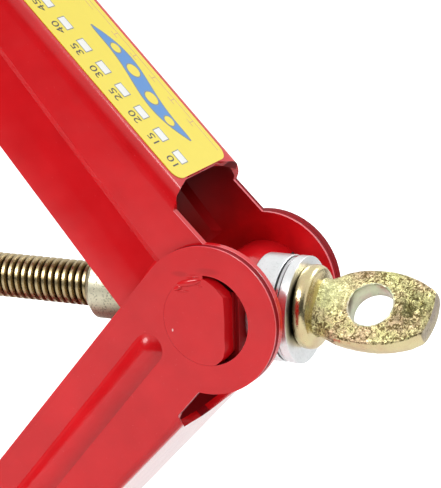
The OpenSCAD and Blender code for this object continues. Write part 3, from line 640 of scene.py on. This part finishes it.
ball_rule, given = new_rule(
    "ball_ring", ("Count", "Int"), ("Circle Radius", "Float"), ("Ball Radius", "Float"),
    ("Material", "Material"))
circle = node(ball_rule, "GeometryNodeMeshCircle", {
    "Vertices": given["Count"], "Radius": given["Circle Radius"]})
ball = node(ball_rule, "GeometryNodeMeshUVSphere", {
    "Segments": 32, "Rings": 16, "Radius": given["Ball Radius"]})
copies = node(ball_rule, "GeometryNodeInstanceOnPoints", {
    "Points": circle.outputs[0], "Instance": ball.outputs[0]})
real = node(ball_rule, "GeometryNodeRealizeInstances", {"Geometry": copies.outputs[0]})
end_rule(ball_rule, real.outputs[0], given)
ball_low, ball_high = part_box("bearing_balls")
ball_radius = (ball_high.x - ball_low.x) / 2
balls_mesh = run_rule(ball_rule, "balls", count=BALL_COUNT, ball_radius=ball_radius,
                      circle_radius=(ball_high.z - ball_low.z) / 2 - ball_radius, material=bearing_steel)
balls_mesh.transform(Matrix.Translation((ball_low + ball_high) / 2))
for face in balls_mesh.polygons:
    face.use_smooth = True
show("bearing_balls_polished", balls_mesh, frame["nodes"]["bearing_balls"]["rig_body"], "bearing_steel",
     "bearing_balls")


# Stops: a plated sleeve pinned to the screw behind the right cross bar, and a washer pinned to its far end.
# They keep the screw in the bearing and in the nut.
sleeve_zinc = metal("sleeve_zinc", (0.78, 0.74, 0.56), (0.70, 0.68, 0.50), 0.46, 0.03, speckle=0.8)
pin_steel = metal("pin_steel", (0.40, 0.39, 0.38), (0.30, 0.29, 0.28), 0.38, 0.01)
for name in ("stop_sleeve", "end_stop_washer"):
    dressed(name, "yellow_zinc", [sleeve_zinc], 0.3)
for name in ("sleeve_pin", "end_stop_pin"):
    dressed(name, "pin_steel", [pin_steel], 0.25)


# Screw thread: one rolled right-handed ridge that climbs along the rod, its crest narrower than its root.
# It runs from the screw's far end to just inside the stop sleeve, and its roots are coloured darker.
PITCH, SCREW_RADIUS = 2.4 * MM, 7.0 * MM
RIDGE_MIDDLE_DEPTH, RIDGE_HEIGHT, ROOT_WIDTH, CREST_WIDTH = 0.75 * MM, 1.4 * MM, 2.2 * MM, 0.85 * MM
POINT_LENGTH, THREAD_END = 1.5 * MM, -44 * MM


# The thread is coloured dark within about 6 mm of the screw's axis.
def darker_roots(tree, coords, colour):
    from_axis = vector_node(tree, "MULTIPLY", coords, KEEP_Y_AND_Z)
    return mixed(tree, near(tree, from_axis, (0, 0, bar.z), 6.0, 6.65, 0.9), colour, (0.07, 0.045, 0.02))


thread_zinc = metal("thread_zinc", (0.52, 0.42, 0.24), (0.44, 0.34, 0.18), 0.30, 0.015, marks=darker_roots)
thread_rule, given = new_rule(
    "thread", ("Turns", "Float"), ("Pitch", "Float"), ("Middle Radius", "Float"), ("Height", "Float"),
    ("Root Width", "Float"), ("Crest Width", "Float"), ("Material", "Material"))
length = math_node(thread_rule, "MULTIPLY", given["Turns"], given["Pitch"])
helix = node(thread_rule, "GeometryNodeCurveSpiral", {
    "Resolution": 36, "Rotations": given["Turns"], "Start Radius": given["Middle Radius"],
    "End Radius": given["Middle Radius"], "Height": length, "Reverse": True})
upright = node(thread_rule, "GeometryNodeSetCurveNormal", {"Curve": helix.outputs[0]}, mode="Z_UP")
ridge = node(thread_rule, "GeometryNodeCurvePrimitiveQuadrilateral", {
    "Height": given["Height"], "Bottom Width": given["Root Width"], "Top Width": given["Crest Width"],
    "Offset": 0.0}, mode="TRAPEZOID")
crest_out = node(thread_rule, "GeometryNodeTransform", {
    "Geometry": ridge.outputs[0], "Rotation": (0, 0, math.radians(-90))})
sweep = node(thread_rule, "GeometryNodeCurveToMesh", {
    "Curve": upright.outputs[0], "Profile Curve": crest_out.outputs[0], "Fill Caps": True})
end_rule(thread_rule, sweep.outputs[0], given)

screw_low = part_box("lead_screw")[0]
thread_start, thread_end = screw_low.x + POINT_LENGTH, bar.x + THREAD_END
ridge_mesh = run_rule(
    thread_rule, "thread_ridge", turns=(thread_end - thread_start) / PITCH, pitch=PITCH,
    middle_radius=SCREW_RADIUS - RIDGE_MIDDLE_DEPTH, height=RIDGE_HEIGHT, root_width=ROOT_WIDTH,
    crest_width=CREST_WIDTH, material=thread_zinc)
ridge_mesh.transform(Matrix.Translation((thread_start, 0, bar.z)))


# Screw: one forging in passivated yellow zinc, with a plain rod, a collar with a bullnose rim and an eye.
# The eye goes from round at the collar to a flat plate, dented by the hammer, with a punched hole.
# Lengths along the screw count from the right cross bar's middle.
COLLAR_FACE, COLLAR_END, COLLAR_RADIUS, FRONT_ROUND, BACK_ROUND = 21.7, 26.3, 12.7, 1.4, 1.9
NECK_FILLET = [(COLLAR_END + 0.1, 10.4), (COLLAR_END + 0.45, 9.9), (COLLAR_END + 0.6, 0)]
ROD_RADIUS, ROOT_RADIUS, POINT_RADIUS, ROOT_END = 6.9, 5.6, 4.6, -45
HOLE_X, HOLE_SIDE, HOLE_RADIUS, HOLE_HALF_LENGTH, HOLE_FLARE, PUNCH_END = 42.9, 0.8, 6.85, 3.25, 8.6, 6
EYE_SHIFT, EYE_BULGE, TIP_START, EYE_TIP, TIP_PULL, TIP_SIDE = 0.4, 0.55, 57, 62, 0.022, 1.5
FINE_DENTS, COARSE_DENTS, PIT_DEPTH, PITS_X, PITS_SIDE = 0.15, 0.14, 1.1, 55.5, 1
STATIONS = [  # length along the screw, half width, half thickness, corner radius
    (25.6, 9.6, 9.6, 9.59), (26.3, 9.4, 7.6, 7.5), (27.0, 9.2, 5.6, 5.5), (27.8, 9.1, 4.5, 4.3),
    (28.8, 9.2, 3.85, 3.6), (30.0, 9.6, 3.55, 2.9), (31.5, 10.1, 3.45, 2.1), (33.5, 10.8, 3.4, 1.4),
    (36.5, 11.5, 3.4, 1.0), (40, 12.0, 3.4, 0.9), (43.5, 12.15, 3.4, 0.9), (47, 12.1, 3.4, 0.9),
    (51, 11.5, 3.4, 0.9), (55, 10.3, 3.4, 0.9), (58.5, 8.9, 3.4, 0.9), (60.8, 7.9, 3.4, 0.9),
    (61.6, 7.5, 3.2, 0.9), (62.0, 6.9, 2.6, 0.9)]
HEAD, THREAD, EYE_FACE, EYE_BORE, EYE_SIDE, EYE_END = range(6)
eye_turn = math.radians(44.5)
eye_across = Vector((0, math.sin(eye_turn), math.cos(eye_turn)))
eye_normal = Vector((0, -math.cos(eye_turn), math.sin(eye_turn)))
hole_middle = bar + Vector((HOLE_X, 0, 0)) * MM + eye_across * HOLE_SIDE * MM


def skin(form, rings, material_index=0):
    for first, second in zip(rings, rings[1:]):
        for k in range(len(first)):
            after = (k + 1) % len(first)
            corners = dict.fromkeys([first[k], first[after], second[after], second[k]])
            form.faces.new(list(corners)).material_index = material_index


def lathe(form, profile, segments, centre, material_index=0):
    turns = [2 * math.pi * k / segments for k in range(segments)]
    rings = []
    for x, radius in profile:
        if radius == 0:
            rings.append([form.verts.new((centre.x + x * MM, centre.y, centre.z))] * segments)
        else:
            rings.append([form.verts.new((
                centre.x + x * MM, centre.y + radius * MM * math.cos(turn),
                centre.z + radius * MM * math.sin(turn))) for turn in turns])
    skin(form, rings, material_index)


def arc(x, y, radius, start, end, steps):
    turns = [math.radians(start + (end - start) * i / steps) for i in range(steps + 1)]
    return [(x + radius * math.cos(turn), y + radius * math.sin(turn)) for turn in turns]


form = bmesh.new()
far_end = (screw_low.x - bar.x) / MM
lathe(form, [(far_end, 0), (far_end, POINT_RADIUS), (far_end + 1.2, ROOT_RADIUS), (ROOT_END, ROOT_RADIUS),
             (ROOT_END + 0.4, ROD_RADIUS), (COLLAR_FACE + 1, ROD_RADIUS), (COLLAR_FACE + 1, 0)],
      64, bar, THREAD)
lathe(form, [(COLLAR_FACE, 0)]
      + arc(COLLAR_FACE + FRONT_ROUND, COLLAR_RADIUS - FRONT_ROUND, FRONT_ROUND, 180, 90, 5)
      + arc(COLLAR_END - BACK_ROUND, COLLAR_RADIUS - BACK_ROUND, BACK_ROUND, 90, 15, 7)
      + NECK_FILLET, 128, bar, HEAD)
bmesh.ops.recalc_face_normals(form, faces=form.faces)
soften(form, 32)
head_mesh = mesh_of(form, "screw_rod")

stations = np.array(STATIONS)
eye_xs = np.concatenate([np.linspace(25.6, 60.6, 118), np.linspace(60.8, EYE_TIP, 7)])
smoothing = np.array([1, 2, 3, 2, 1]) / 9


def along_eye(column):
    values = np.interp(eye_xs, stations[:, 0], stations[:, column])
    return np.convolve(np.pad(values, 2, mode="edge"), smoothing, mode="valid")


def section(half_width, half_thickness, corner):
    points = []
    for k, (side, face) in enumerate(((1, 1), (-1, 1), (-1, -1), (1, -1))):
        middle = Vector((side * (half_width - corner), face * (half_thickness - corner)))
        turns = [math.radians(90 * k + 15 * i) for i in range(7)]
        points += [middle + Vector((math.cos(turn), math.sin(turn))) * corner for turn in turns]
        along_face = k % 2 == 0
        next_side, next_face = (-side, face) if along_face else (side, -face)
        goal = Vector((next_side * (half_width - corner), next_face * (half_thickness - corner)))
        goal += Vector((0, face * corner)) if along_face else Vector((side * corner, 0))
        last, steps = points[-1], 51 if along_face else 7
        points += [last.lerp(goal, i / steps) for i in range(1, steps)]
    return points


def dent(spot, x, across, on_face):
    depth = FINE_DENTS * noise.fractal(spot * 700, 0.9, 2.1, 4) + COARSE_DENTS * noise.noise(spot * 330)
    pitted = min(1.0, 2 * max(0.0, 1 - abs(x - PITS_X) / 5) * max(0.0, 1 - abs(across - PITS_SIDE) / 9))
    pits = noise.noise(spot * 430 + Vector((7, 3, 5)))
    depth -= PIT_DEPTH * pitted * max(0.0, pits + 0.10)
    return depth * (1.0 if on_face else 0.25)


form = bmesh.new()
rings = []
for x, half_width, half_thickness, corner in zip(eye_xs, along_eye(1), along_eye(2), along_eye(3)):
    ring = []
    for across, out in section(half_width, half_thickness, min(corner, half_thickness - 0.01)):
        tip_pull = share_of(x, TIP_START, EYE_TIP) * TIP_PULL * (across - TIP_SIDE) ** 2
        bulge = EYE_BULGE * max(0.0, 1 - (out / half_thickness) ** 2) * share_of(x, 27, 32)
        across += math.copysign(bulge, across)
        sideways = across + EYE_SHIFT * share_of(x, 28, 38)
        spot = bar + Vector((x - tip_pull, 0, 0)) * MM + eye_across * sideways * MM + eye_normal * out * MM
        fade = share_of(x, 26.4, 28.4) * max(0.2, share_of(x, EYE_TIP, EYE_TIP - 2))
        depth = dent(spot, x, across, abs(out) > half_thickness - 0.05) * fade
        ring.append(form.verts.new(spot + eye_normal * math.copysign(1, out) * depth * MM))
    rings.append(ring)
skin(form, rings)
form.faces.new(rings[0])
form.faces.new(rings[-1])
bmesh.ops.recalc_face_normals(form, faces=form.faces)
eye = bpy.data.objects.new("eye", mesh_of(form, "eye"))

form = bmesh.new()
lathe(form, [(-PUNCH_END, 0), (-PUNCH_END, HOLE_FLARE), (-HOLE_HALF_LENGTH, HOLE_RADIUS),
             (HOLE_HALF_LENGTH, HOLE_RADIUS), (PUNCH_END, HOLE_FLARE), (PUNCH_END, 0)], 96, Vector((0, 0, 0)))
bmesh.ops.recalc_face_normals(form, faces=form.faces)
punch_mesh = mesh_of(form, "punch")
punch_turn = eye_normal.to_track_quat("X", "Z").to_matrix().to_4x4()
punch_mesh.transform(Matrix.Translation(hole_middle) @ punch_turn)
punch = bpy.data.objects.new("punch", punch_mesh)
for part in (eye, punch):
    scene.collection.objects.link(part)
cut = eye.modifiers.new("hole", "BOOLEAN")
cut.operation, cut.object, cut.solver = "DIFFERENCE", punch, "EXACT"
cut_mesh = bpy.data.meshes.new_from_object(eye.evaluated_get(bpy.context.evaluated_depsgraph_get()))
for part in (eye, punch):
    bpy.data.objects.remove(part)

form = bmesh.new()
form.from_mesh(cut_mesh)
for face in form.faces:
    offset = (face.calc_center_median() - hole_middle) / MM
    from_axis = offset - eye_normal * offset.dot(eye_normal)
    on_side = abs(face.normal.dot(eye_normal)) < 0.55
    face.material_index = EYE_SIDE if on_side and offset.x > -9 else EYE_FACE
    if from_axis.length < HOLE_RADIUS + 0.45:
        face.material_index = EYE_BORE
    if on_side and face.normal.x > 0.8 and offset.x > 9:
        face.material_index = EYE_END
soften(form, 40)
form.to_mesh(cut_mesh)
form.free()


def forged_plating(name):
    made, tree, shader, coords = start_material(name)
    tints = patches(tree, coords, 150.0, 0.42, 0.58, detail=4.0, roughness=0.6)
    colour = mixed(tree, tints, (0.78, 0.70, 0.34), (0.66, 0.50, 0.30))
    green = patches(tree, vector_node(tree, "ADD", coords, (0.3, 0.1, 0)), 110.0, 0.48, 0.62, 0.6)
    colour = mixed(tree, green, colour, (0.72, 0.76, 0.32))
    # Painted highlight: the neck beside the collar is painted pale, with fewer dark pits.
    neck_highlight_spot = bar + Vector((30, 0, 0)) * MM + (eye_normal * 3.5 + eye_across * 4) * MM
    colour = mixed(tree, near(tree, coords, neck_highlight_spot, 2, 10, 0.85), colour, (0.95, 0.97, 0.50))
    grit = clouds(tree, coords, 820.0, 4.0, 0.62, distortion=1.3)
    past_neck_highlight = math_node(tree, "SUBTRACT", 1.0, near(tree, coords, neck_highlight_spot, 2, 10, 0.55))
    pitted = math_node(tree, "MULTIPLY", ramp(tree, grit, (0.47, 0.0), (0.57, 0.92)), past_neck_highlight)
    colour = mixed(tree, pitted, colour, (0.13, 0.09, 0.03))
    tip = hole_middle + Vector((13.2, 0, 0)) * MM + eye_normal * 3.5 * MM
    stain = math_node(tree, "MULTIPLY", near(tree, coords, tip, 2.5, 7, 0.9),
                      patches(tree, coords, 420.0, 0.46, 0.54))
    feed(tree, shader, {
        "Base Color": mixed(tree, stain, colour, (0.10, 0.09, 0.03)), "Metallic": 0.92,
        "Roughness": ramp(tree, grit, (0.35, 0.24), (0.65, 0.46)),
        "Normal": bumps(tree, (grit, 0.36), (clouds(tree, coords, 1700.0, 2.0), 0.10))})
    return made


yellow_zinc = metal("yellow_zinc", (0.70, 0.62, 0.34), (0.64, 0.50, 0.29), 0.23, 0.03)
forged_zinc = forged_plating("forged_zinc")
end_zinc = metal("end_zinc", (0.62, 0.54, 0.34), (0.38, 0.31, 0.24), 0.30, 0.06, speckle=0.5)
bore_zinc = metal("bore_zinc", (0.56, 0.66, 0.42), (0.57, 0.50, 0.38), 0.34, 0.03)
form = bmesh.new()
form.from_mesh(ridge_mesh)
for face in form.faces:
    face.material_index = THREAD
form.from_mesh(head_mesh)
form.from_mesh(cut_mesh)
soften(form, 40)
screw_mesh = mesh_of(form, "screw")
for material in (yellow_zinc, thread_zinc, forged_zinc, bore_zinc, yellow_zinc, end_zinc):
    screw_mesh.materials.append(material)
show("lead_screw_forged", screw_mesh, frame["nodes"]["lead_screw"]["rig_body"], "yellow_zinc", "lead_screw")


# Label: a printed vinyl sheet on the right upper arm's web, with a numbered row of boxes and a blue leaf.
# The print lies on the sheet as thin raised shapes, and its numbers are plain counts.
# Places on the sheet count from the arm's gear end along the web, across it and out of it.
GEAR_PIVOT_X, GEAR_PIVOT_Z = 20.0, 2 * bar.z / MM - 30.0
BOX_COUNT, BOX_START, BOX_STEP, BOX_SIDE, BOX_LENGTH, BOX_WIDTH = 11, 45.5, 8.9, -8.6, 4.4, 3.6
FRAME_LINE, NUMBER_START, NUMBER_SIDE, NUMBER_SIZE, LAST_NUMBER, NUMBER_STEP = 0.3, 50.6, -10.2, 5.0, 60, 5
PRINT_FOOT, PRINT_TOP, NUMBER_LIFT, NUMBER_THICKNESS = 0.19, 0.23, 0.21, 0.02
LEAF_START, LEAF_LENGTH, LEAF_SIDE, LEAF_WAVE, LEAF_HALF_WIDTH, LEAF_TIP = 87, 46, 5.2, 2.3, 3.9, 1.4
LEAF_LINE, HOLE_LINE = 0.45, 0.4
LEAF_HOLES = [(96.5, 7.4, 1.9), (105.5, 6.6, 2.5), (116, 3.9, 2.5), (125, 3.0, 1.9)]
RULE_LINE, RULE_SIDE, TICK_HEIGHT, TICK_BAR = 0.22, 12.4, 2.2, 3.0
TICK_COUNT, TICK_START, TICK_STEP = 5, 92, 9
gear_pivot = Vector((GEAR_PIVOT_X, 0, GEAR_PIVOT_Z))
along = Vector((math.cos(ARM_ANGLE), 0, -math.sin(ARM_ANGLE)))
outward = Vector((math.sin(ARM_ANGLE), 0, math.cos(ARM_ANGLE)))
web_tilt = math.atan((UPPER_ARM["web_ear"] - UPPER_ARM["web_gear"]) / ARM_LENGTH)


def plain(name, colour):
    made, tree, shader, coords = start_material(name)
    faded = tuple(channel * 0.94 for channel in colour)
    cloudy = mixed(tree, clouds(tree, coords, 200.0), colour, faded)
    feed(tree, shader, {"Base Color": cloudy, "Roughness": 0.3})
    return made


def on_web(length, across, height):
    level_length = length * math.cos(web_tilt) - height * math.sin(web_tilt)
    out = UPPER_ARM["web_gear"] + length * math.sin(web_tilt) + height * math.cos(web_tilt)
    return (gear_pivot + along * level_length + outward * out + Vector((0, across, 0))) * MM


def show_print(name, form, material):
    bmesh.ops.recalc_face_normals(form, faces=form.faces)
    mesh = mesh_of(form, name)
    mesh.materials.append(material)
    show(name, mesh, frame["nodes"]["arm_label"]["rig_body"], "label_print")


def printed(name, outlines, material, top=PRINT_TOP):
    form = bmesh.new()
    for outline in outlines:
        upper = [form.verts.new(on_web(length, across, top)) for length, across in outline]
        lower = [form.verts.new(on_web(length, across, PRINT_FOOT)) for length, across in outline]
        form.faces.new(upper)
        form.faces.new(lower)
        skin(form, [upper, lower])
    show_print(name, form, material)


def slab(start, side, length, width):
    return [(start, side), (start + length, side), (start + length, side + width), (start, side + width)]


def leaf(grow):
    rims = []
    for side in (1, -1):
        rim = []
        for share in (i / 40 for i in range(41)):
            at_tip = abs(share - 0.5) > 0.49
            length = LEAF_START + LEAF_LENGTH * share + grow * math.copysign(LEAF_TIP, share - 0.5) * at_tip
            half_width = grow + LEAF_HALF_WIDTH * math.sin(math.pi * share) ** 0.7
            rim.append((length, LEAF_SIDE + LEAF_WAVE * math.sin(2 * math.pi * share) + side * half_width))
        rims.append(rim)
    return rims[0] + rims[1][::-1]


def disc(length, across, radius):
    return arc(length, across, radius, 0, 345, 23)


label_yellow = plain("label_yellow", (0.93, 0.76, 0.045))
print_pink = plain("print_pink", (0.62, 0.30, 0.22))
print_blue = plain("print_blue", (0.07, 0.27, 0.66))
print_white = plain("print_white", (0.90, 0.90, 0.88))
print_dark = plain("print_dark", (0.035, 0.03, 0.025))
print_grey = plain("print_grey", (0.22, 0.24, 0.26))
dressed("arm_label", "label_print", [label_yellow], 0)

boxes = [slab(BOX_START + BOX_STEP * k, BOX_SIDE, BOX_LENGTH, BOX_WIDTH) for k in range(BOX_COUNT)]
printed("label_boxes", boxes, print_white)
frames = []
for box in boxes:
    (start, near_side), (end, far_side) = box[0], box[2]
    width = far_side - near_side + 2 * FRAME_LINE
    frames += [slab(start, near_side - FRAME_LINE, end - start, FRAME_LINE),
               slab(start, far_side, end - start, FRAME_LINE),
               slab(start - FRAME_LINE, near_side - FRAME_LINE, FRAME_LINE, width),
               slab(end, near_side - FRAME_LINE, FRAME_LINE, width)]
printed("label_frames", frames, print_grey)
printed("label_leaf_rim", [leaf(LEAF_LINE)], print_grey, 0.22)
printed("label_leaf", [leaf(0.0)], print_blue, 0.23)
printed("label_hole_rims", [disc(x, y, radius + HOLE_LINE) for x, y, radius in LEAF_HOLES], print_grey, 0.24)
printed("label_holes", [disc(*hole) for hole in LEAF_HOLES], label_yellow, 0.25)
ticks = [TICK_START + TICK_STEP * k for k in range(TICK_COUNT)]
printed("label_rules", [slab(40, RULE_SIDE + TICK_HEIGHT, 100, RULE_LINE), slab(52, RULE_SIDE, 30, 0.2)]
        + [slab(tick, RULE_SIDE, RULE_LINE, TICK_HEIGHT) for tick in ticks]
        + [slab(tick - 1.4, RULE_SIDE - 0.1, TICK_BAR, RULE_LINE) for tick in ticks], print_pink, 0.21)

form = bmesh.new()
for k in range(BOX_COUNT):
    text = bpy.data.curves.new("label_numbers", "FONT")
    text.body, text.size, text.extrude = str(LAST_NUMBER - NUMBER_STEP * k), NUMBER_SIZE, NUMBER_THICKNESS
    text.resolution_u = 4
    holder = bpy.data.objects.new("label_numbers", text)
    scene.collection.objects.link(holder)
    mesh = bpy.data.meshes.new_from_object(holder.evaluated_get(bpy.context.evaluated_depsgraph_get()))
    bpy.data.objects.remove(holder)
    for vertex in mesh.vertices:
        right, above, height = vertex.co
        vertex.co = on_web(NUMBER_START + BOX_STEP * k - right, NUMBER_SIDE - above, NUMBER_LIFT + height)
    form.from_mesh(mesh)
show_print("label_numbers", form, print_dark)
